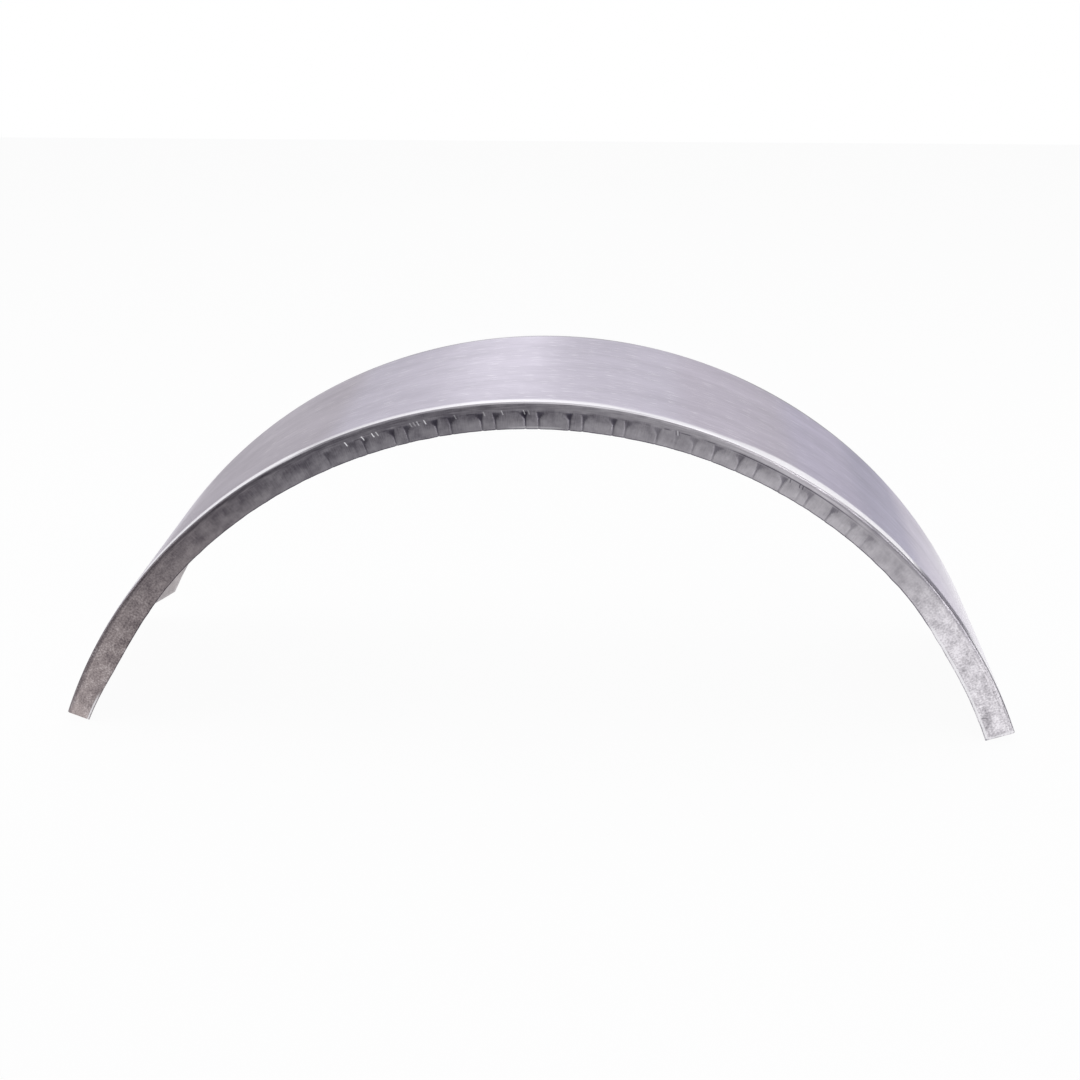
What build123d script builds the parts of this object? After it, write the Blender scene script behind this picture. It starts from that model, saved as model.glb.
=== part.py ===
"""Rolled and folded sheet-steel mudguard for a small trailer, modelled as one solid.

The guard is an arch of flat-topped sheet with a lip folded inwards along both edges.
It stands on its two ends. X runs from end to end, Y runs from the front lip to the
rear lip, +Z is up, and the origin is on the floor, midway between the ends and lips.
"""
from build123d import *
import math
import os

# Driving dimensions, in millimetres and degrees
ARCH_RADIUS = 400.0        # outer face of the crown, from the wheel's centre line
ARCH_ANGLE = 139.0         # turn of the arch, from one end cut to the other
GUARD_WIDTH = 230.0        # outside of the front lip to outside of the rear lip
SHEET = 1.6                # steel sheet
FOLD_RADIUS = 0.6          # inside of both folds
FRONT_LIP = 21.0           # depth of the front lip below the crown's outer face
REAR_LIP = 25.0            # depth of the rear lip below the crown's outer face
SNIP_LENGTH = 30.0         # slanted snip off each corner of the rear lip, along its free edge

# Crimps: as the guard is rolled, each lip is shrunk by pressing it into pairs of narrow
# creases. A crease runs up from the free edge and opens like a funnel at its top.
CRIMP_PITCH = 4.95         # from one pair to the next, in degrees round the arch
CRIMP_PHASE = -0.4         # middle pair from the top of the arch, in degrees
CRIMP_SPACING = 10.4       # between the two creases of one pair
CRIMP_DROP = 7.0           # top of the funnels below the crown's outer face
CRIMP_STEM = 1.4           # width of the crease below its funnel
CRIMP_FLARE = 6.5          # radius that opens the funnel on the pair's outer side
CRIMP_SHOULDER = 1.5       # slant that opens it on the pair's inner side
CRIMP_DEPTH = 0.4          # depth of the crease in the lip's outer face
PLAIN_END = 4.0            # least plain lip between the last crimp and an end cut or snip

# Places that follow from the driving dimensions
half_angle = ARCH_ANGLE / 2
half_width = GUARD_WIDTH / 2
front_edge = ARCH_RADIUS - FRONT_LIP
rear_edge = ARCH_RADIUS - REAR_LIP
fold_line = ARCH_RADIUS - SHEET - FOLD_RADIUS
crimp_top = ARCH_RADIUS - CRIMP_DROP
axis_height = -front_edge * math.cos(math.radians(half_angle))
arch_axis = Axis((0, 0, axis_height), (0, 1, 0))

# Plane of the end cut on the left: local x runs across the guard, local y runs outwards
end_normal = (math.cos(math.radians(half_angle)), 0, math.sin(math.radians(half_angle)))
end_plane = Plane(origin=(0, 0, axis_height), x_dir=(0, 1, 0), z_dir=end_normal)

# Planes of the lips' outer faces, each seen from outside with the crown upwards
front_plane = Plane(origin=(0, -half_width, axis_height), x_dir=(1, 0, 0), z_dir=(0, -1, 0))
rear_plane = Plane(origin=(0, half_width, axis_height), x_dir=(-1, 0, 0), z_dir=(0, 1, 0))


def turned(angle):
    """Place on a lip's plane whose local x points outwards at this angle from the top."""
    return Location((0, 0, 0), (0, 0, 90 - angle))


def crimp_angles(free_edge, plain_length):
    """Angles of the crimp pairs that stay a plain length short of both end cuts."""
    pair_reach = (CRIMP_SPACING + CRIMP_STEM) / 2 + CRIMP_FLARE
    room = half_angle - math.degrees((plain_length + pair_reach) / free_edge)
    first = math.ceil((-room - CRIMP_PHASE) / CRIMP_PITCH)
    last = math.floor((room - CRIMP_PHASE) / CRIMP_PITCH)
    return [CRIMP_PHASE + CRIMP_PITCH * number for number in range(first, last + 1)]


def crimp_pair(free_edge):
    """Two mirrored creases of a lip, with local x outwards from the wheel's centre line."""
    foot = free_edge - CRIMP_STEM
    outer_side = (CRIMP_SPACING + CRIMP_STEM) / 2
    inner_side = (CRIMP_SPACING - CRIMP_STEM) / 2
    with BuildSketch() as pair:
        with BuildLine():
            outer = Line((foot, outer_side), (crimp_top - CRIMP_FLARE, outer_side))
            flare = JernArc(outer @ 1, outer % 1, CRIMP_FLARE, 90)
            Polyline(
                flare @ 1,
                (crimp_top, inner_side - CRIMP_SHOULDER),
                (crimp_top - CRIMP_SHOULDER, inner_side),
                (foot, inner_side),
                outer @ 0,
            )
        make_face()
        mirror(about=Plane.XZ)
    return pair.sketch


with BuildPart() as mudguard:
    # The sheet is folded as a shallow channel and rolled round the wheel's centre line
    with BuildSketch(end_plane) as section:
        with BuildLine():
            FilletPolyline(
                (-half_width, front_edge),
                (-half_width, ARCH_RADIUS),
                (half_width, ARCH_RADIUS),
                (half_width, rear_edge),
                radius=FOLD_RADIUS + SHEET,
            )
            offset(amount=SHEET, side=Side.RIGHT)
        make_face()
    revolve(axis=arch_axis, revolution_arc=ARCH_ANGLE)

    # Each corner of the rear lip is snipped from its free edge to the fold at the end cut
    snip_turn = SNIP_LENGTH / rear_edge
    snip_depth = fold_line - rear_edge * math.cos(snip_turn)
    snip_run = rear_edge * math.sin(snip_turn)
    overrun = 1.1
    with BuildSketch(rear_plane) as snips:
        with Locations(turned(half_angle)):
            Polygon(
                (fold_line + snip_depth * (overrun - 1), snip_run * (1 - overrun)),
                (fold_line - snip_depth * overrun, snip_run * overrun),
                (fold_line - snip_depth * overrun, snip_run * (1 - overrun)),
                align=None,
            )
        mirror(about=Plane.YZ)
    extrude(amount=-SHEET - FOLD_RADIUS, mode=Mode.SUBTRACT)

    # Both lips are crimped all along
    for lip_plane, free_edge, plain_length in (
        (front_plane, front_edge, PLAIN_END),
        (rear_plane, rear_edge, PLAIN_END + SNIP_LENGTH),
    ):
        pair = crimp_pair(free_edge)
        with BuildSketch(lip_plane) as crimps:
            with Locations(*[turned(angle) for angle in crimp_angles(free_edge, plain_length)]):
                add(pair)
        extrude(amount=-CRIMP_DEPTH, mode=Mode.SUBTRACT)

mudguard.part.label = "mudguard"

os.makedirs("parts", exist_ok=True)
export_step(mudguard.part, "parts/mudguard.step")
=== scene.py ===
import functools
import math
import random

import bmesh
import bpy
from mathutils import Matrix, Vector, noise


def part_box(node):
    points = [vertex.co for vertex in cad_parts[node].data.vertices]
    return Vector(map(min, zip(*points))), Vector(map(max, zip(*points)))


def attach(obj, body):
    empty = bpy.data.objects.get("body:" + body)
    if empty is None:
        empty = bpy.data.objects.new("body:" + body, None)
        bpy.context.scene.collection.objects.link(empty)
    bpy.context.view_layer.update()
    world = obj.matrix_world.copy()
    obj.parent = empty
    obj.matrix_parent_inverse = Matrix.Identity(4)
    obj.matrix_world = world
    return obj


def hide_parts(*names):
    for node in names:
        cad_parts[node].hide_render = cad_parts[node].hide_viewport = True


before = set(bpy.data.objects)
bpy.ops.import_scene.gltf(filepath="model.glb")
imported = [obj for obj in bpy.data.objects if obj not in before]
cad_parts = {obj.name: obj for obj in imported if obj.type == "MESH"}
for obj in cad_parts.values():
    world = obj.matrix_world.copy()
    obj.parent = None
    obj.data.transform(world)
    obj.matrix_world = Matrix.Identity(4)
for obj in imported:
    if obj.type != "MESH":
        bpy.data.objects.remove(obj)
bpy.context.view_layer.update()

# A trailer mudguard of bare sheet steel, folded to a shallow channel and rolled to an arch.
# Metres and radians. X runs from end to end, Y from the front lip to the rear lip, Z is up.
MM = 0.001
low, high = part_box("mudguard")
half_width = high.y
half_chord = high.x
crown_height = high.z

ARCH_RADIUS = 400 * MM        # outer face of the crown, from the wheel's centre line
FRONT_LIP = 21 * MM           # depth of each lip below the crown's outer face
REAR_LIP = 25 * MM
SHEET = 1.6 * MM
FOLD_OUTSIDE = 2.2 * MM       # outside radius of both folds
SNIP_LENGTH = 30 * MM         # slanted snip at the rear lip's corners, along its free edge

# What rolling, shrinking and trimming by hand did to the sheet
ROLL_OFF_WIDTH = 12 * MM      # strip of the crown beside each fold that bows down towards it
ROLL_OFF = 0.6 * MM           # how far it bows
LEFT_SWELL = 2 * MM           # the front lip is this much deeper on the legs, where it was shrunk less
RIGHT_SWELL = 3.2 * MM
RIGHT_TRIM = 0.4 * MM         # and this much shallower on the right shoulder
LEFT_TAPER = 4.5 * MM         # the left leg's end was trimmed narrower by about this much
EDGE_WAVE = 0.25 * MM         # unevenness of the sheared free edges
EDGE_WAVE_LENGTH = 9 * MM     # from one wave of it to the next, about
EDGE_NOTCH = 0.35 * MM        # how far a crease draws the free edge in
EDGE_ROUND = 0.45 * MM        # rounding that shearing leaves along the cut edges

# Crimps: pairs of creases that open into funnels at their tops
CRIMP_PITCH = math.radians(4.95)
CRIMP_PHASE = math.radians(-0.4)
CRIMP_SPACING = 10.4 * MM     # between the two creases of a pair
CRIMP_DROP = 7 * MM           # top of the funnels below the crown's outer face
CRIMP_STEM = 1.4 * MM         # width of the crease below its funnel
CRIMP_FLARE = 6.5 * MM        # how far the funnel opens on the pair's outer side, and how deep it is
CRIMP_SHOULDER = 1.5 * MM     # how far it opens on the inner side
CRIMP_SOFTNESS = 0.9 * MM     # width over which a crease runs out into the lip
CRIMP_DEPTH = 0.45 * MM
CRIMP_SHIFT = 1.6 * MM        # how far a crease strays from its place in the pattern
FUNNEL_CURVE = 1.5            # how quickly the funnel narrows downwards
FUNNEL_RISE = 0.6             # share of the depth that the funnel's side loses
STEM_RISE = 0.35              # share of the depth that the stem loses on its way down
WEAKEST_CREASE = 0.1          # strength of the creases on the legs, where the crown's top has 1

# The front lip's firm creases, pair by pair: degrees from the top of the arch, and strength
FRONT_CREASE_PLACES = (
    (-26.7, 0.35), (-24.0, 0.6), (-20.6, 0.5), (-19.5, 0.75), (-16.0, 0.9), (-14.5, 0.85), (-11.05, 0.95),
    (-9.45, 0.85), (-6.0, 0.95), (-4.45, 0.85), (-1.1, 1), (0.4, 0.95), (3.85, 1), (5.35, 0.85),
    (8.75, 0.9), (10.1, 0.65), (13.7, 0.6), (15.8, 0.3), (17.9, 0.5), (20.3, 0.7), (23.3, 0.7),
    (25.4, 0.65), (28.7, 0.75), (30.9, 0.3), (32.1, 0.6), (35.1, 0.7), (38.1, 0.45), (40.3, 0.35),
)

# Nicks that the tool's jaws left above the pads of the front lip: degrees from the top of the arch,
# and how bright each is, or how dark where it is below 0
FRONT_NICKS = (
    (-21.5, 1), (-19.5, 0.9), (-18.3, 1), (-17.8, 0.6), (-13.9, 0.3), (-13.5, 0.3), (-13.1, 0.5),
    (-12.3, 0.8), (-8.9, 0.25), (-5.7, 0.3), (-3.7, 0.45), (-1.3, 0.35), (-0.8, 0.2), (15.5, -0.6),
    (15.7, 0.35), (15.9, -0.5), (29.2, -0.7), (30.4, -0.9), (30.8, -0.9), (34.9, -0.4), (35.5, -0.5),
)
NICK_DROP = 5.6 * MM          # top of the nicks below the crown's outer face
NICK_LENGTH = 3.6 * MM
NICK_WIDTH = 0.9 * MM
NICK_LEAN = 0.33              # how far a nick leans to the right on its way down

# Mesh spacing
COARSE_STEP = 4 * MM          # round the arch
CRIMP_STEPS = 6               # parts that a coarse step has at the crimps
FOLD_STEPS = 6                # parts across each fold
LIP_ROWS = 14                 # parts across each lip
CROWN_ROWS = 10               # parts across the crown
BOW_ROWS = 12                 # parts of each of the two outermost of these, for the bow by the fold
TOUCH = 0.01 * MM             # points this near to a line count as on it
SHEET_MAP = "sheet"           # UV map: metres along the arch and across the unfolded sheet

half_angle = math.asin(half_chord / ARCH_RADIUS)
arch_end = half_angle * ARCH_RADIUS
axis_height = crown_height - ARCH_RADIUS
arch_centre = Vector((0, 0, axis_height))
fold_line = ARCH_RADIUS - FOLD_OUTSIDE
front_edge = ARCH_RADIUS - FRONT_LIP
rear_edge = ARCH_RADIUS - REAR_LIP
crimp_top = ARCH_RADIUS - CRIMP_DROP
fold_start = half_width - FOLD_OUTSIDE
lip_start = fold_start + FOLD_OUTSIDE * math.pi / 2


def select_only(obj):
    """Makes one object the selected and active one."""
    bpy.ops.object.select_all(action="DESELECT")
    obj.select_set(True)
    bpy.context.view_layer.objects.active = obj


def pick(obj, kind, test):
    """In edit mode, selects just the vertices, edges or faces that pass a test."""
    modes = {"verts": (True, False, False), "edges": (False, True, False), "faces": (False, False, True)}
    bpy.context.tool_settings.mesh_select_mode = modes[kind]
    bpy.ops.mesh.select_all(action="DESELECT")
    shape = bmesh.from_edit_mesh(obj.data)
    for item in getattr(shape, kind):
        if test(item):
            item.select_set(True)
    shape.select_flush_mode()
    bmesh.update_edit_mesh(obj.data)


def apply_modifier(obj, kind, **settings):
    """Adds a modifier with its settings and applies it."""
    modifier = obj.modifiers.new(kind.lower(), kind)
    for name, value in settings.items():
        setattr(modifier, name, value)
    select_only(obj)
    bpy.ops.object.modifier_apply(modifier=modifier.name)


def polar(co):
    """Angle from the top of the arch, positive to the right, and distance from its centre line."""
    return math.atan2(co.x, co.z - axis_height), math.hypot(co.x, co.z - axis_height)


def outwards(angle):
    """Direction away from the wheel's centre line at an angle from the top of the arch."""
    return Vector((math.sin(angle), 0, math.cos(angle)))


def ramp(value, start, end):
    """0 before start and 1 after end, with a smooth step between."""
    share = min(max((value - start) / (end - start), 0), 1)
    return share * share * (3 - 2 * share)


def turn_ramp(angle, start, end):
    """The same step between two places round the arch, given in degrees from its top."""
    return ramp(angle, math.radians(start), math.radians(end))


# The sheet

def fold_section():
    """The guard's outer line across the left end, as three straight runs with two round folds."""
    middle = Vector((0, 0, ARCH_RADIUS - REAR_LIP / 2))
    bpy.ops.mesh.primitive_plane_add(size=1, location=middle, rotation=(0, math.pi / 2, 0))
    sheet = bpy.context.object
    sheet.name = "folded_guard"
    bpy.ops.object.transform_apply(location=True, rotation=True, scale=True)
    bpy.ops.object.mode_set(mode="EDIT")
    bpy.ops.transform.resize(value=(1, 2 * half_width, REAR_LIP), center_override=middle)
    pick(sheet, "edges", lambda e: all(v.co.z < middle.z for v in e.verts))
    bpy.ops.mesh.delete(type="EDGE")
    pick(sheet, "verts", lambda v: v.co.z < middle.z and v.co.y < 0)
    bpy.ops.transform.translate(value=(0, 0, REAR_LIP - FRONT_LIP))
    pick(sheet, "verts", lambda v: v.co.z > middle.z)
    bpy.ops.mesh.bevel(offset=FOLD_OUTSIDE, segments=FOLD_STEPS, affect="VERTICES")

    def on_crown(edge, least_y):
        return all(v.co.z > ARCH_RADIUS - TOUCH and abs(v.co.y) > least_y - TOUCH for v in edge.verts)

    pick(sheet, "edges", lambda e: all(abs(v.co.y) > half_width - TOUCH for v in e.verts))
    bpy.ops.mesh.subdivide(number_cuts=LIP_ROWS - 1)
    pick(sheet, "edges", lambda e: on_crown(e, 0))
    bpy.ops.mesh.subdivide(number_cuts=CROWN_ROWS - 1)
    pick(sheet, "edges", lambda e: on_crown(e, fold_start * (1 - 2 / CROWN_ROWS)))
    bpy.ops.mesh.subdivide(number_cuts=BOW_ROWS - 1)
    bpy.ops.mesh.select_all(action="SELECT")
    bpy.ops.transform.translate(value=(0, 0, axis_height))
    bpy.ops.transform.rotate(value=half_angle, orient_axis="Y", center_override=arch_centre)
    return sheet


def on_lip(co):
    """Whether a point lies on the flat of a lip, below the fold."""
    return abs(co.y) > half_width - TOUCH and polar(co)[1] < fold_line - TOUCH


class Crease:
    """One crease of a crimp pair: where it runs, which side its funnel opens to and how deep it is."""

    def __init__(self, angle, opening, strength):
        self.angle = angle
        self.opening = opening
        self.strength = strength

    def depth(self, angle, radius):
        """Depth of the crease at a place on the lip, from 0 to its strength."""
        below_top = crimp_top - radius
        beside = (angle - self.angle) * self.opening * radius
        if below_top < -CRIMP_SOFTNESS or abs(beside) > CRIMP_FLARE + CRIMP_STEM:
            return 0
        spread = CRIMP_FLARE if beside > 0 else CRIMP_SHOULDER
        narrowing = min(max(1 - below_top / CRIMP_FLARE, 0), 1) ** FUNNEL_CURVE
        reach = CRIMP_STEM / 2 + spread * narrowing
        across = ramp(reach - abs(beside), -CRIMP_SOFTNESS / 2, CRIMP_SOFTNESS / 2)
        shallow = 1 - FUNNEL_RISE * ramp(abs(beside), CRIMP_STEM / 2, CRIMP_FLARE)
        running_out = 1 - STEM_RISE * ramp(below_top, CRIMP_FLARE, 2 * CRIMP_FLARE)
        return self.strength * across * shallow * running_out * ramp(below_top, -CRIMP_SOFTNESS, 0)


def crease_strength(angle, draw):
    """How firmly a crease was pressed: evenly round the top, weakly and unevenly down the legs."""
    evenness = 1 - (0.25 + 0.35 * turn_ramp(angle, 10, 18)) * draw.random()
    left_fade = turn_ramp(angle, -36, -14)
    right_fade = 1 - 0.8 * turn_ramp(angle, 12, 44)
    return evenness * max(left_fade * right_fade, WEAKEST_CREASE)


def crimp_creases(seed):
    """Every crease of one lip, two to a pair, with the small strays of hand-fed work."""
    draw = random.Random(seed)
    pairs = math.ceil(half_angle / CRIMP_PITCH)
    creases = []
    for number in range(-pairs, pairs + 1):
        centre = CRIMP_PHASE + number * CRIMP_PITCH
        spacing = CRIMP_SPACING * (1 + 0.4 * turn_ramp(centre, 8, 20))
        for opening in (-1, 1):
            stray = draw.gauss(0, 1) * (0.2 + 0.8 * turn_ramp(centre, 8, 30))
            angle = centre + (opening * spacing / 2 + stray * CRIMP_SHIFT / 2) / crimp_top
            creases.append(Crease(angle, opening, crease_strength(angle, draw)))
    return creases


def front_creases():
    """The creases of the front lip: the firm ones in their places, weak ones in the pattern beyond."""
    firm = []
    for number, (degrees, strength) in enumerate(FRONT_CREASE_PLACES):
        opening = 1 if number % 2 else -1
        firm.append(Crease(math.radians(degrees), opening, strength))
    reach = CRIMP_PITCH / 3
    first, last = firm[0].angle - reach, firm[-1].angle + reach
    return firm + [crease for crease in crimp_creases(seed=4) if not first < crease.angle < last]


FRONT_CREASES = front_creases()
REAR_CREASES = crimp_creases(seed=9)


def roll_section(sheet):
    """Spins the section round the wheel's centre line, then divides its lips finer at the crimps."""
    steps = round(2 * arch_end / COARSE_STEP)
    bpy.context.tool_settings.mesh_select_mode = (True, False, False)
    bpy.ops.mesh.select_all(action="SELECT")
    bpy.ops.mesh.spin(steps=steps, angle=2 * half_angle, center=arch_centre, axis=(0, -1, 0))
    firm = [crease.angle for crease in FRONT_CREASES + REAR_CREASES if crease.strength > WEAKEST_CREASE]
    reach = (CRIMP_STEM + CRIMP_FLARE + COARSE_STEP / 2) / crimp_top

    def near_a_crease(edge):
        start, end = (polar(v.co)[0] for v in edge.verts)
        middle = (start + end) / 2
        return (
            abs(end - start) * ARCH_RADIUS > COARSE_STEP / 2
            and all(on_lip(v.co) for v in edge.verts)
            and any(abs(middle - angle) < reach for angle in firm)
        )

    pick(sheet, "edges", near_a_crease)
    bpy.ops.mesh.subdivide(number_cuts=CRIMP_STEPS - 1)
    bpy.ops.mesh.select_all(action="SELECT")
    bpy.ops.mesh.normals_make_consistent(inside=False)


def snip_rear_corners(sheet):
    """Cuts both corners off the rear lip, from its free edge up to the fold at the end cut."""
    snip_turn = SNIP_LENGTH / rear_edge
    for end in (-1, 1):
        at_fold = arch_centre + outwards(end * half_angle) * (fold_line - 2 * TOUCH)
        at_edge = arch_centre + outwards(end * (half_angle - snip_turn)) * rear_edge
        across = (at_edge - at_fold).cross(Vector((0, 1, 0))).normalized()
        corner = arch_centre + outwards(end * half_angle) * rear_edge
        if across.dot(corner - at_fold) < 0:
            across.negate()

        def near_the_corner(face):
            angle = polar(face.calc_center_median())[0]
            on_rear_lip = all(v.co.y > half_width - TOUCH for v in face.verts)
            return on_rear_lip and angle * end > half_angle - 1.5 * snip_turn

        pick(sheet, "faces", near_the_corner)
        bpy.ops.mesh.bisect(plane_co=at_fold, plane_no=across, clear_outer=True)


def unfolded(co):
    """Distance across the unfolded sheet from its middle, negative towards the front lip."""
    radius = polar(co)[1]
    side = math.copysign(1, co.y)
    if abs(co.y) < fold_start:
        return co.y
    if radius < fold_line:
        return side * (lip_start + fold_line - radius)
    turn = math.atan2(abs(co.y) - fold_start, radius - fold_line)
    return side * (fold_start + FOLD_OUTSIDE * turn)


def map_sheet(sheet):
    """Lays the unfolded sheet out in a UV map, so that a finish can run along the steel's grain."""
    layer = sheet.data.uv_layers.new(name=SHEET_MAP)
    for loop in sheet.data.loops:
        co = sheet.data.vertices[loop.vertex_index].co
        layer.data[loop.index].uv = (polar(co)[0] * ARCH_RADIUS, unfolded(co))


def leg_swell(angle):
    """How much deeper the front lip is than round the top of the arch."""
    if angle > 0:
        trim = turn_ramp(angle, 10, 18) - turn_ramp(angle, 40, 47)
        return RIGHT_SWELL * turn_ramp(angle, 47, 59) - RIGHT_TRIM * trim
    return LEFT_SWELL * turn_ramp(-angle, 46, 59) - LEFT_TAPER * turn_ramp(-angle, 60, 71.5)


def press_lips(sheet):
    """Presses the creases into both lips, gives their sheared edges the unevenness of real ones,
    and bows the crown down towards its folds."""
    pressed = sheet.data.attributes.new("pressed", "FLOAT", "POINT")
    for vertex in sheet.data.vertices:
        angle, radius = polar(vertex.co)
        side = math.copysign(1, vertex.co.y)
        bow = min(max((abs(vertex.co.y) - fold_start) / ROLL_OFF_WIDTH + 1, 0), 1)
        bow = ROLL_OFF * bow * bow
        if not on_lip(vertex.co):
            vertex.co -= outwards(angle) * bow
            continue
        creases = FRONT_CREASES if side < 0 else REAR_CREASES
        depth = max(crease.depth(angle, radius) for crease in creases)
        pressed.data[vertex.index].value = depth
        free_edge = front_edge if side < 0 else rear_edge
        share = (fold_line - radius) / (fold_line - free_edge)
        wave = EDGE_WAVE * noise.noise((angle * ARCH_RADIUS / EDGE_WAVE_LENGTH, side, 0))
        notch = EDGE_NOTCH * depth * ramp(share, 0.9, 1)
        vertex.co -= outwards(angle) * (bow * (1 - share) + (wave - notch) * ramp(share, 0, 1))
        vertex.co.y -= side * CRIMP_DEPTH * depth
        if side < 0:
            swell = -outwards(angle) * leg_swell(angle)
            edge_height = axis_height + free_edge * math.cos(angle)
            swell.z = max(swell.z, low.z - edge_height)
            vertex.co += swell * share
        vertex.co.z = max(vertex.co.z, low.z + 2 * TOUCH)


def thicken(sheet):
    """Gives the sheet its thickness inwards and rounds its cut edges."""
    apply_modifier(
        sheet, "SOLIDIFY", thickness=SHEET, offset=-1, material_offset=3, material_offset_rim=6,
    )
    apply_modifier(
        sheet, "BEVEL", width=EDGE_ROUND, segments=2, limit_method="ANGLE", angle_limit=math.radians(55),
    )
    select_only(sheet)
    bpy.ops.object.shade_smooth_by_angle(angle=math.radians(50))


# Finishes. Places along the arch are in millimetres from its top, positive to the right.

NOISE_SPAN = {"From Min": 0.3, "From Max": 0.7}    # nearly all values of a noise lie between these


def linear(code):
    """A colour written as sRGB hex, as linear light with full opacity."""
    parts = [int(code[place:place + 2], 16) / 255 for place in (0, 2, 4)]
    return tuple(p / 12.92 if p <= 0.04045 else ((p + 0.055) / 1.055) ** 2.4 for p in parts) + (1,)


def add_node(tree, kind, inputs=None, output=0, **settings):
    """Adds a node with its settings, fills its inputs with values or links, and gives one output
    or, where output is None, the node."""
    made = tree.nodes.new("ShaderNode" + kind)
    for name, value in settings.items():
        setattr(made, name, value)
    for name, value in (inputs or {}).items():
        if isinstance(value, bpy.types.NodeSocket):
            tree.links.new(value, made.inputs[name])
        else:
            made.inputs[name].default_value = value
    return made if output is None else made.outputs[output]


def new_material(name):
    """An empty node material, with the function that adds its nodes."""
    material = bpy.data.materials.new(name)
    material.use_nodes = True
    material.node_tree.nodes.clear()
    return material, functools.partial(add_node, material.node_tree)


def combine(operation, add, *values):
    """Several values combined one after the other with one operation."""

    def combine_two(first, second):
        return add("Math", {0: first, 1: second}, operation=operation)

    return functools.reduce(combine_two, values)


sum_of = functools.partial(combine, "ADD")
product_of = functools.partial(combine, "MULTIPLY")
greatest_of = functools.partial(combine, "MAXIMUM")


def fade(add, value, start, end, least=0, most=1):
    """A value that goes smoothly from least to most while another goes from start to end millimetres."""
    return add(
        "MapRange",
        {"Value": value, "From Min": start * MM, "From Max": end * MM, "To Min": least, "To Max": most},
        interpolation_type="SMOOTHSTEP",
    )


def stretch(add, value, start, full_from, full_to, end):
    """1 between full_from and full_to millimetres, fading to 0 at start and end."""
    return product_of(add, fade(add, value, start, full_from), fade(add, value, end, full_to))


def strip_at(add, value, middle, outer, inner, most=1):
    """Most where a value in metres is within inner millimetres of the middle, fading to 0 at outer
    millimetres from it. The middle is in metres, or a link."""
    off_middle = add("Math", {0: value, 1: middle}, operation="SUBTRACT")
    off_middle = add("Math", {0: off_middle}, operation="ABSOLUTE")
    return fade(add, off_middle, outer, inner, 0, most)


def patches(add, place, length, width, detail=2, roughness=0.5):
    """Noise on the sheet in patches this many millimetres long and wide."""
    size = (1 / (length * MM), 1 / (width * MM), 1)
    scaled = add("Mapping", {"Vector": place, "Scale": size})
    return add(
        "TexNoise", {"Vector": scaled, "Scale": 1, "Detail": detail, "Roughness": roughness},
        noise_dimensions="2D",
    )


def painted_fold_shade(add, along, from_fold):
    """Painted shade over the fold, where it turns from the lamps: across it and just beside it round the
    top, and across its lower part down the legs.
    """
    round_top = product_of(
        add,
        fade(add, from_fold, 1.5, 0),
        fade(add, along, -240, -150),
        fade(add, along, 90, -130, 0.5, 1),
        fade(add, along, 130, 60, 0, 0.9),
    )
    down_legs = product_of(
        add,
        fade(add, from_fold, -0.3, -1.2),
        greatest_of(add, fade(add, along, -150, -240), fade(add, along, 225, 285, 0, 0.8)),
    )
    return greatest_of(add, round_top, down_legs)


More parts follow.
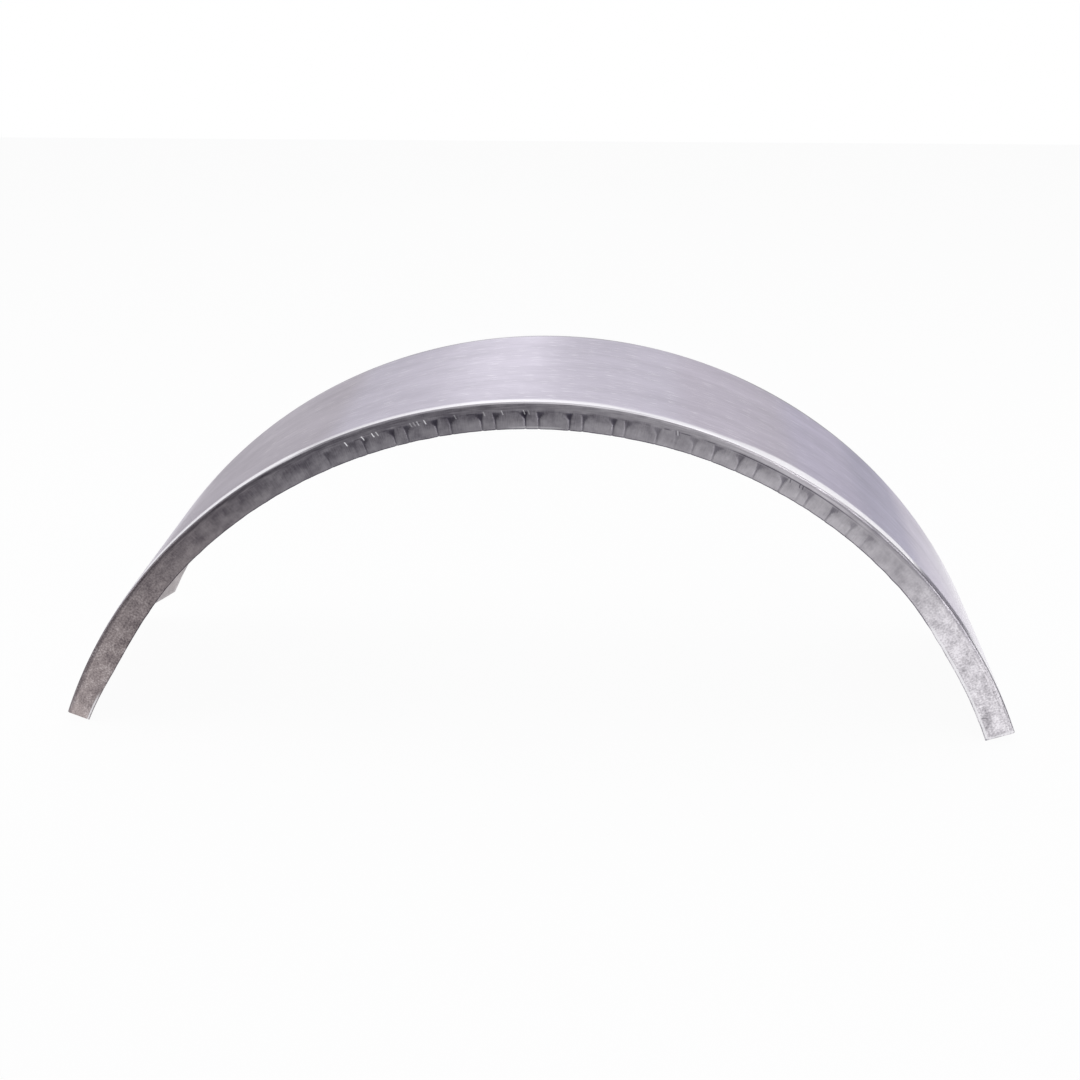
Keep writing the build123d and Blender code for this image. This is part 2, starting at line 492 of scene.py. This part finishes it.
def brushed_sheet_steel():
    """Cold-rolled steel sheet, brushed along its length before it was bent: a silky grey with fine
    lines, soft bands and a stretched highlight."""
    material, add = new_material("brushed_sheet_steel")
    place = add("UVMap", uv_map=SHEET_MAP)
    axes = add("SeparateXYZ", {0: place}, output=None)
    along = axes.outputs["X"]
    across = add("Math", {0: axes.outputs["Y"]}, operation="ABSOLUTE")
    from_fold = add("Math", {0: fold_start, 1: across}, operation="SUBTRACT")

    # Brush lines about 0.7 mm apart, wide soft bands from the rollers, and clouds the size of a hand
    # that handling left
    lines = patches(add, place, 90, 0.7, detail=3, roughness=0.6)
    bands = patches(add, place, 260, 9)
    clouds = patches(add, place, 70, 40, detail=4, roughness=0.55)
    streak = add("Mix", {0: 0.25, 2: lines, 3: bands}, data_type="FLOAT")
    tone = add("Mix", {0: 0.42, 2: streak, 3: clouds}, data_type="FLOAT")
    lit = add("MapRange", {"Value": tone, **NOISE_SPAN})
    colour = add("Mix", {0: lit, 6: linear("c0bbc7"), 7: linear("dfd9e7")}, output=2, data_type="RGBA")
    roughness = add("MapRange", {"Value": tone, **NOISE_SPAN, "To Min": 0.46, "To Max": 0.38})

    # Sparse light scratches, about 16 mm long
    scratches = patches(add, place, 16, 1.5)
    scratched = add("MapRange", {"Value": scratches, "From Min": 0.65, "From Max": 0.74, "To Max": 0.8})
    colour = add("Mix", {0: scratched, 6: colour, 7: linear("f6f3fa")}, output=2, data_type="RGBA")

    # Films of oil and oxide tint the crown: warm on the left shoulder, then faintly pink, violet and
    # blue-grey on the right one. The warm and the blue-grey ones also darken it there as painted shade
    tints_and_shade = ((-340, -160, "f4f2ef"), (110, 205, "faf8f8"), (205, 270, "faf9ff"), (270, 330, "e9eaf1"))
    for start, end, code in tints_and_shade:
        middle, reach = (start + end) / 2 * MM, (end - start) / 2
        tint_and_shade = strip_at(add, along, middle, reach + 15, reach - 15)
        colour = add(
            "Mix", {0: tint_and_shade, 6: colour, 7: linear(code)}, output=2, data_type="RGBA", blend_type="MULTIPLY",
        )

    # Painted reflection: both ends of the crown lighter. The right-hand end is also smoother
    painted_end_reflection = sum_of(add, fade(add, along, 330, 430, 0, 0.75), fade(add, along, -315, -350, 0, 0.6))
    colour = add("Mix", {0: painted_end_reflection, 6: colour, 7: linear("f3eef6")}, output=2, data_type="RGBA")
    smoothed = fade(add, along, 350, 430)
    roughness = add("Mix", {0: smoothed, 2: roughness, 3: 0.24}, data_type="FLOAT")

    # A painted highlight: a white strip beside the front fold that glares, widest on the left leg and
    # the right shoulder. Below that shoulder the strip is painted dark instead, as shade, and it is
    # dark and narrow all along the rear fold.
    on_rear = fade(add, axes.outputs["Y"], -50, 50)
    painted_dark = greatest_of(add, stretch(add, along, 315, 340, 385, 410), product_of(add, on_rear, 0.75))
    strip = add("Mix", {0: painted_dark, 6: linear("fdfbff"), 7: linear("7f7b86")}, output=2, data_type="RGBA")
    left_glare = stretch(add, along, -360, -335, -200, -170)
    right_glare = stretch(add, along, 145, 200, 300, 325)
    narrow = stretch(add, along, 50, 80, 140, 170)
    widening = sum_of(
        add,
        product_of(add, left_glare, 1.5 * MM),
        product_of(add, right_glare, 3.5 * MM),
        product_of(add, narrow, -2.5 * MM),
        product_of(add, on_rear, -4 * MM),
    )
    fold_band = fade(add, add("Math", {0: from_fold, 1: widening}, operation="SUBTRACT"), 10, 4)
    colour = add("Mix", {0: fold_band, 6: colour, 7: strip}, output=2, data_type="RGBA")
    on_front = add("Math", {0: 1, 1: on_rear}, operation="SUBTRACT")
    glare = product_of(add, fold_band, greatest_of(add, left_glare, right_glare), on_front)
    metallic = add("Math", {0: 1, 1: glare}, operation="SUBTRACT")

    # Painted shade over the fold
    fold_shaded = painted_fold_shade(add, along, from_fold)
    colour = add("Mix", {0: fold_shaded, 6: colour, 7: linear("67636b")}, output=2, data_type="RGBA")
    bump = add("Bump", {"Height": lines, "Strength": 0.25, "Distance": 0.02 * MM})
    tangent = add("Tangent", direction_type="UV_MAP", uv_map=SHEET_MAP)
    steel = add(
        "BsdfPrincipled",
        {"Base Color": colour, "Metallic": metallic, "Roughness": roughness, "Anisotropic": 0.5,
         "Anisotropic Rotation": 0.25, "Normal": bump, "Tangent": tangent},
    )
    add("OutputMaterial", {"Surface": steel}, output=None)
    return material


def nick_marks(add, along, depth, nicks):
    """A value that is a nick's brightness inside its slanting stroke, and 0 outside all strokes."""
    down = add("Math", {0: depth, 1: NICK_DROP - FOLD_OUTSIDE}, operation="SUBTRACT")
    within = add("Math", {0: down, 1: NICK_LENGTH / 2, 2: NICK_LENGTH / 2}, operation="COMPARE")
    lean = add("Math", {0: down, 1: NICK_LEAN}, operation="MULTIPLY")
    upright = add("Math", {0: along, 1: lean}, operation="SUBTRACT")
    marks = 0
    for degrees, brightness in nicks:
        place = math.radians(degrees) * ARCH_RADIUS
        mark = add("Math", {0: upright, 1: place, 2: NICK_WIDTH / 2}, operation="COMPARE")
        marks = add("Math", {0: mark, 1: brightness, 2: marks}, operation="MULTIPLY_ADD")
    return add("Math", {0: within, 1: marks}, operation="MULTIPLY")


class LipPlace:
    """Where a point of a lip is on the unfolded sheet, as links that hold metres."""

    def __init__(self, add, free_edge):
        self.sheet = add("UVMap", uv_map=SHEET_MAP)
        axes = add("SeparateXYZ", {0: self.sheet}, output=None)
        self.along = axes.outputs["X"]
        self.from_top = add("Math", {0: self.along}, operation="ABSOLUTE")
        across = add("Math", {0: axes.outputs["Y"]}, operation="ABSOLUTE")
        self.depth = add("Math", {0: across, 1: lip_start}, operation="SUBTRACT")
        self.to_edge = add("Math", {0: lip_start + fold_line - free_edge, 1: across}, operation="SUBTRACT")
        self.to_end = add("Math", {0: arch_end, 1: self.along}, operation="SUBTRACT")
        corner = add("CombineXYZ", {0: self.to_end, 1: self.to_edge})
        self.to_corner = add("VectorMath", {0: corner}, output="Value", operation="LENGTH")


def lip_tone_and_painted_light(add, at, tone, grit):
    """How light a lip's steel is: blotched and gritty, with bolder bruises on the right leg, under painted
    light. The painted light makes the lip a little lighter at the left-hand end and more and more so
    towards the right-hand one. Round the top it is painted lighter near the free edge, on the right
    shoulder near the fold too, and on the legs darker there."""
    along = at.along
    bolder = fade(add, along, 320, 400, 0, 0.9)
    gritty = greatest_of(add, fade(add, along, 300, 400, 0, 0.9), fade(add, along, -250, -400, 0, 0.6))
    under_fold = sum_of(add, fade(add, along, -60, 60, 0, 0.1), fade(add, along, 130, 205, 0, 0.17))
    return sum_of(
        add,
        add("MapRange", {"Value": tone, **NOISE_SPAN, "To Max": 0.27}),
        product_of(add, add("Math", {0: tone, 1: 0.5}, operation="SUBTRACT"), bolder),
        product_of(add, add("Math", {0: grit, 1: 0.5}, operation="SUBTRACT"), gritty),
        fade(add, along, -60, 260, 0, 0.28),
        fade(add, along, 310, 385, 0, 0.37),
        fade(add, along, 400, 470, 0, -0.13),
        fade(add, along, -250, -490, 0, 0.19),
        fade(add, along, -473, -483, 0, 0.14),
        product_of(add, fade(add, at.depth, 6, 17, -0.03, 0.1), fade(add, at.from_top, 230, 440, 1, -0.7)),
        product_of(add, under_fold, fade(add, along, 285, 225), fade(add, at.depth, 4.3, 2)),
    )


def lip_dark_lines_and_shade(add, at, nicked):
    """How dark a lip's lines are: painted shade in the creases and along the fold's foot down the left
    leg and on the right shoulder, and the jaws' upper edge above the pads, the sheared edge, a dark
    spot in the right leg's corner and the dark nicks."""
    along = at.along
    # Painted shade in the creases, the deeper the darker
    pressed = add("Attribute", output="Fac", attribute_name="pressed")
    pressed = add("Math", {0: pressed, 1: 1.4}, operation="POWER")
    pad_depth = fold_line - crimp_top
    pad_top = fade(add, along, 50, 170, pad_depth, pad_depth - 1 * MM)
    strengths = patches(add, at.sheet, 11, math.inf, detail=1)
    strengths = add("MapRange", {"Value": strengths, "From Min": 0.45, "From Max": 0.6, "To Max": 0.6})
    pad_line = product_of(
        add,
        strip_at(add, at.depth, pad_top, 0.7, 0.2),
        greatest_of(add, strengths, fade(add, along, 145, 165, 0, 0.85)),
        stretch(add, along, -190, -130, 240, 290),
    )
    # Painted shade along the fold's foot
    fold_foot_shade = product_of(
        add,
        fade(add, at.depth, 2.2, 0, 0, 0.45),
        greatest_of(
            add,
            fade(add, along, -100, -260),
            fade(add, along, 290, 330),
            product_of(add, fade(add, along, 170, 260), fade(add, at.depth, -1.6, -0.7)),
        ),
        fade(add, along, 440, 390),
    )
    edge_line = product_of(
        add,
        fade(add, at.to_edge, 1, 0.5, 0, 0.9),
        fade(add, along, 366, 376, 1, 0.25),
        fade(add, along, -380, -460, 1, 0.5),
    )
    corner_spot = fade(add, at.to_corner, 3.5, 1.5)
    dark_nicks = product_of(add, nicked, -1)
    return greatest_of(add, pressed, pad_line, fold_foot_shade, edge_line, corner_spot, dark_nicks)


def lip_bright_marks_and_highlights(add, at, nicked, flecks):
    """Where a lip's steel is bright: in the nicks and flecks, and with painted highlights along the
    sheared edge near the top of the arch and at the ends of both legs and along the right leg's end
    cut, but not in the dark spot in the right leg's corner."""
    # Painted highlights along the sheared edge and the end cut
    edge_highlight_places = greatest_of(
        add,
        fade(add, at.along, 366, 376),
        fade(add, at.along, -455, -470),
        fade(add, at.from_top, 25, 15, 0, 0.3),
    )
    edge_highlight = product_of(add, strip_at(add, at.to_edge, 1.4 * MM, 1, 0.5, 0.8), edge_highlight_places)
    end_cut_highlight = strip_at(add, at.to_end, 1.8 * MM, 1.1, 0.5, 0.5)
    bright = greatest_of(add, nicked, edge_highlight, flecks, end_cut_highlight)
    return product_of(add, bright, fade(add, at.to_corner, 1.5, 3.5))


def shrunk_lip_steel(name, free_edge, nicks=()):
    """The same steel on a lip, dulled and bruised by the jaws of the shrinking tool: blotched greys under
    painted light, with painted shade in the creases, painted highlights on the cut edges, scuffs and a few
    bright nicks."""
    material, add = new_material(name)
    at = LipPlace(add, free_edge)

    # Bruises about 12 mm wide, over scratches 0.8 mm apart that run across the lip, and strokes about
    # 15 mm long under the fold
    bruises = patches(add, at.sheet, 12, 9, detail=4, roughness=0.6)
    scratches = patches(add, at.sheet, 0.8, 7)
    strokes = patches(add, at.sheet, 15, 1.2, detail=3)
    tone = add("Mix", {0: 0.25, 2: bruises, 3: scratches}, data_type="FLOAT")
    tone = add("Mix", {0: fade(add, at.depth, 5, 2, 0, 0.6), 2: tone, 3: strokes}, data_type="FLOAT")

    # Grit 1.5 mm wide on the legs, with bright flecks in patches
    grit = patches(add, at.sheet, 1.5, 1.5)
    flecks = add("MapRange", {"Value": product_of(add, grit, bruises), "From Min": 0.31, "From Max": 0.37})
    flecked = greatest_of(
        add, fade(add, at.along, 330, 430, 0, 0.2), fade(add, at.along, -330, -430, 0, 0.12),
    )
    flecks = product_of(add, flecks, flecked)

    # The steel's random tone, with painted light over it
    lit = lip_tone_and_painted_light(add, at, tone, grit)
    colour = add("Mix", {0: lit, 6: linear("67636b"), 7: linear("f2eef3")}, output=2, data_type="RGBA")

    # A warm film of oxide down the left leg
    warm = fade(add, at.along, -150, -420)
    colour = add(
        "Mix", {0: warm, 6: colour, 7: linear("fff4ec")}, output=2, data_type="RGBA", blend_type="MULTIPLY",
    )

    nicked = nick_marks(add, at.along, at.depth, nicks)
    # Dark lines, with painted shade in the creases and along the fold's foot
    dark = lip_dark_lines_and_shade(add, at, nicked)
    colour = add(
        "Mix", {0: dark, 6: colour, 7: linear("8a8793")}, output=2, data_type="RGBA", blend_type="MULTIPLY",
    )
    # Bright nicks and flecks, and painted highlights along the cut edges
    bright = lip_bright_marks_and_highlights(add, at, nicked, flecks)
    colour = add("Mix", {0: bright, 6: colour, 7: linear("fbfafc")}, output=2, data_type="RGBA")
    metallic = add("Math", {0: 1, 1: bright}, operation="SUBTRACT")

    roughness = add("MapRange", {"Value": tone, **NOISE_SPAN, "To Min": 0.52, "To Max": 0.42})
    bump = add("Bump", {"Height": tone, "Strength": 0.3, "Distance": 0.05 * MM})
    steel = add(
        "BsdfPrincipled",
        {"Base Color": colour, "Metallic": metallic, "Roughness": roughness, "Normal": bump},
    )
    add("OutputMaterial", {"Surface": steel}, output=None)
    return material


def mill_finish_underside():
    """The sheet's inner face, as it came from the mill: duller and mottled with a faint warm oxide."""
    material, add = new_material("mill_finish_underside")
    place = add("UVMap", uv_map=SHEET_MAP)
    clouds = patches(add, place, 60, 25, detail=8, roughness=0.7)
    lit = add("MapRange", {"Value": clouds, **NOISE_SPAN})
    colour = add("Mix", {0: lit, 6: linear("a9a5a7"), 7: linear("cfc9ca")}, output=2, data_type="RGBA")
    roughness = add("MapRange", {"Value": clouds, **NOISE_SPAN, "To Min": 0.5, "To Max": 0.4})
    steel = add("BsdfPrincipled", {"Base Color": colour, "Metallic": 1, "Roughness": roughness})
    add("OutputMaterial", {"Surface": steel}, output=None)
    return material


def sheared_edge():
    """Fresh steel along the cut edges, torn by the shear: bright, with fine lines across."""
    material, add = new_material("sheared_edge")
    place = add("UVMap", uv_map=SHEET_MAP)
    tears = patches(add, place, 0.8, 8)
    colour = add("Mix", {0: tears, 6: linear("85848c"), 7: linear("b8b6be")}, output=2, data_type="RGBA")
    steel = add("BsdfPrincipled", {"Base Color": colour, "Metallic": 1, "Roughness": 0.42})
    add("OutputMaterial", {"Surface": steel}, output=None)
    return material


def finish_sheet(sheet):
    """Gives the outer faces their finishes. Behind them in the list come those of the inner faces
    and of the cut edges, in the order in which Solidify counts them."""
    outside = [
        brushed_sheet_steel(),
        shrunk_lip_steel("shrunk_front_lip_steel", front_edge, FRONT_NICKS),
        shrunk_lip_steel("shrunk_rear_lip_steel", rear_edge),
    ]
    inside = [mill_finish_underside()] * len(outside)
    for finish in (*outside, *inside, sheared_edge()):
        sheet.data.materials.append(finish)
    # The jaws dulled the lips up to the middle of the folds
    for face in sheet.data.polygons:
        if abs(face.center.y) > half_width - FOLD_OUTSIDE / 4:
            face.material_index = 1 if face.center.y < 0 else 2


guard = fold_section()
roll_section(guard)
snip_rear_corners(guard)
bpy.ops.object.mode_set(mode="OBJECT")
map_sheet(guard)
finish_sheet(guard)
press_lips(guard)
thicken(guard)

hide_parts("mudguard")
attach(guard, "root")


# Camera: the photograph's place, direction and lens
camera = bpy.data.objects.new("camera", bpy.data.cameras.new("camera"))
bpy.context.collection.objects.link(camera)
camera.location = (0.0804, -1.5251, 0.6339)
camera.rotation_euler = Vector((-0.05152, 0.94639, -0.31886)).to_track_quat("-Z", "Y").to_euler()
camera.data.lens = 65.06
camera.data.sensor_width = 36
bpy.context.scene.camera = camera


# Studio: a pale floor and backdrop under soft boxes

# The boards' pale wedge is a painted pool of light, and the grey around it is painted shade
PALE_FROM = (0.08, -1.75)     # X and Y of the place that the boards' pale wedge opens from
PALE_LEAN = -0.055            # slant of its middle line, as X over Y
PALE_SLANT = (0.27, 0.34)     # slants off that line between which its sides turn from pale to grey
PALE_START = (-0.95, -0.63)   # Y between which it turns from grey to pale


def white_to_the_eye(name, white_share):
    """A matte board: a pale wedge, painted as a pool of light, with painted shade of grey around it. It
    looks white to the camera and its pale part looks white in the metal, but it keeps its shadows."""
    material, add = new_material(name)
    where = add("SeparateXYZ", {0: add("TexCoord", output="Object")}, output=None)
    away = add("Math", {0: where.outputs["Y"], 1: PALE_FROM[1]}, operation="SUBTRACT")
    sideways = add("Math", {0: where.outputs["X"], 1: PALE_FROM[0]}, operation="SUBTRACT")
    slant = add("Math", {0: sideways, 1: away}, operation="DIVIDE")
    slant = add("Math", {0: slant, 1: PALE_LEAN}, operation="SUBTRACT")
    slant = add("Math", {0: slant}, operation="ABSOLUTE")
    between_sides = add(
        "MapRange",
        {"Value": slant, "From Min": PALE_SLANT[0], "From Max": PALE_SLANT[1], "To Min": 1, "To Max": 0},
        interpolation_type="SMOOTHSTEP",
    )
    past_start = add(
        "MapRange", {"Value": where.outputs["Y"], "From Min": PALE_START[0], "From Max": PALE_START[1]},
        interpolation_type="SMOOTHSTEP",
    )
    # The painted pool of light
    pale = product_of(add, between_sides, past_start)
    colour = add("Mix", {0: pale, 6: linear("8a8a8e"), 7: linear("e6e6e8")}, output=2, data_type="RGBA")
    ray = add("LightPath", output=None).outputs
    in_metal = product_of(add, ray["Is Glossy Ray"], pale)
    seen = greatest_of(add, in_metal, ray["Is Transmission Ray"], ray["Is Camera Ray"])
    share = product_of(add, seen, white_share)
    matte = add("BsdfDiffuse", {"Color": colour})
    glow = add("Emission", {"Color": (1, 1, 1, 1), "Strength": 1})
    add("OutputMaterial", {"Surface": add("MixShader", {0: share, 1: matte, 2: glow})}, output=None)
    return material


def board(name, size, location, rotation, material):
    """A flat stage board."""
    bpy.ops.mesh.primitive_plane_add(size=1, location=location, rotation=rotation)
    made = bpy.context.object
    made.name = name
    made.scale = (*size, 1)
    bpy.ops.object.transform_apply(location=True, rotation=True, scale=True)
    made.data.materials.append(material)


def soft_box(name, location, aim, size, brightness):
    """A rectangular soft box that looks this bright from the front."""
    lamp = bpy.data.lights.new(name, "AREA")
    lamp.shape = "RECTANGLE"
    lamp.size, lamp.size_y = size
    lamp.energy = brightness * math.pi * size[0] * size[1]
    made = bpy.data.objects.new(name, lamp)
    bpy.context.collection.objects.link(made)
    made.location = location
    made.rotation_euler = (Vector(aim) - Vector(location)).to_track_quat("-Z", "Y").to_euler()


board("floor", (8, 8), (0, 0, 0), (0, 0, 0), white_to_the_eye("white_floor", 0.95))
board("backdrop", (8, 0.6), (0, 3.6, 0.3), (math.pi / 2, 0, 0), white_to_the_eye("white_backdrop", 1))

soft_box("above_behind", (0, 1.0, 1.5), (0, 0, 0.2), (2.6, 0.9), 0.48)
soft_box("high_behind", (0, 1.9, 1.6), (0, 0, 0.2), (2.6, 0.6), 0.47)
soft_box("behind_right", (1.5, 1.0, 0.75), (0.3, 0, 0.2), (0.7, 0.7), 0.9)
soft_box("behind_spot", (-0.3, 2.6, 0.85), (0, 0, 0.2), (0.45, 0.6), 1.22)
soft_box("overhead", (0, 0, 1.5), (0, 0, 0.2), (2.4, 0.9), 1.0)
soft_box("left_side", (-1.7, -0.1, 0.7), (-0.3, 0, 0.2), (1.2, 1.0), 2.3)
soft_box("front_right", (1.2, -1.6, 0.5), (0.25, 0, 0.15), (0.8, 0.7), 6.7)
soft_box("right_low", (1.3, 0.5, 0.3), (0.3, 0, 0.1), (0.6, 0.5), 1.7)

# The room lights the metal grey, but the camera sees white past the floor's edge
world = bpy.data.worlds.new("room")
bpy.context.scene.world = world
world.use_nodes = True
world.node_tree.nodes.clear()
add_to_world = functools.partial(add_node, world.node_tree)
eye = add_to_world("LightPath", output="Is Camera Ray")
room_colour = add_to_world(
    "Mix", {0: eye, 6: (0.48, 0.48, 0.49, 1), 7: (1, 1, 1, 1)}, output=2, data_type="RGBA",
)
room_light = add_to_world("Background", {"Color": room_colour, "Strength": 1})
add_to_world("OutputWorld", {"Surface": room_light}, output=None)

bpy.context.scene.view_settings.view_transform = "Standard"
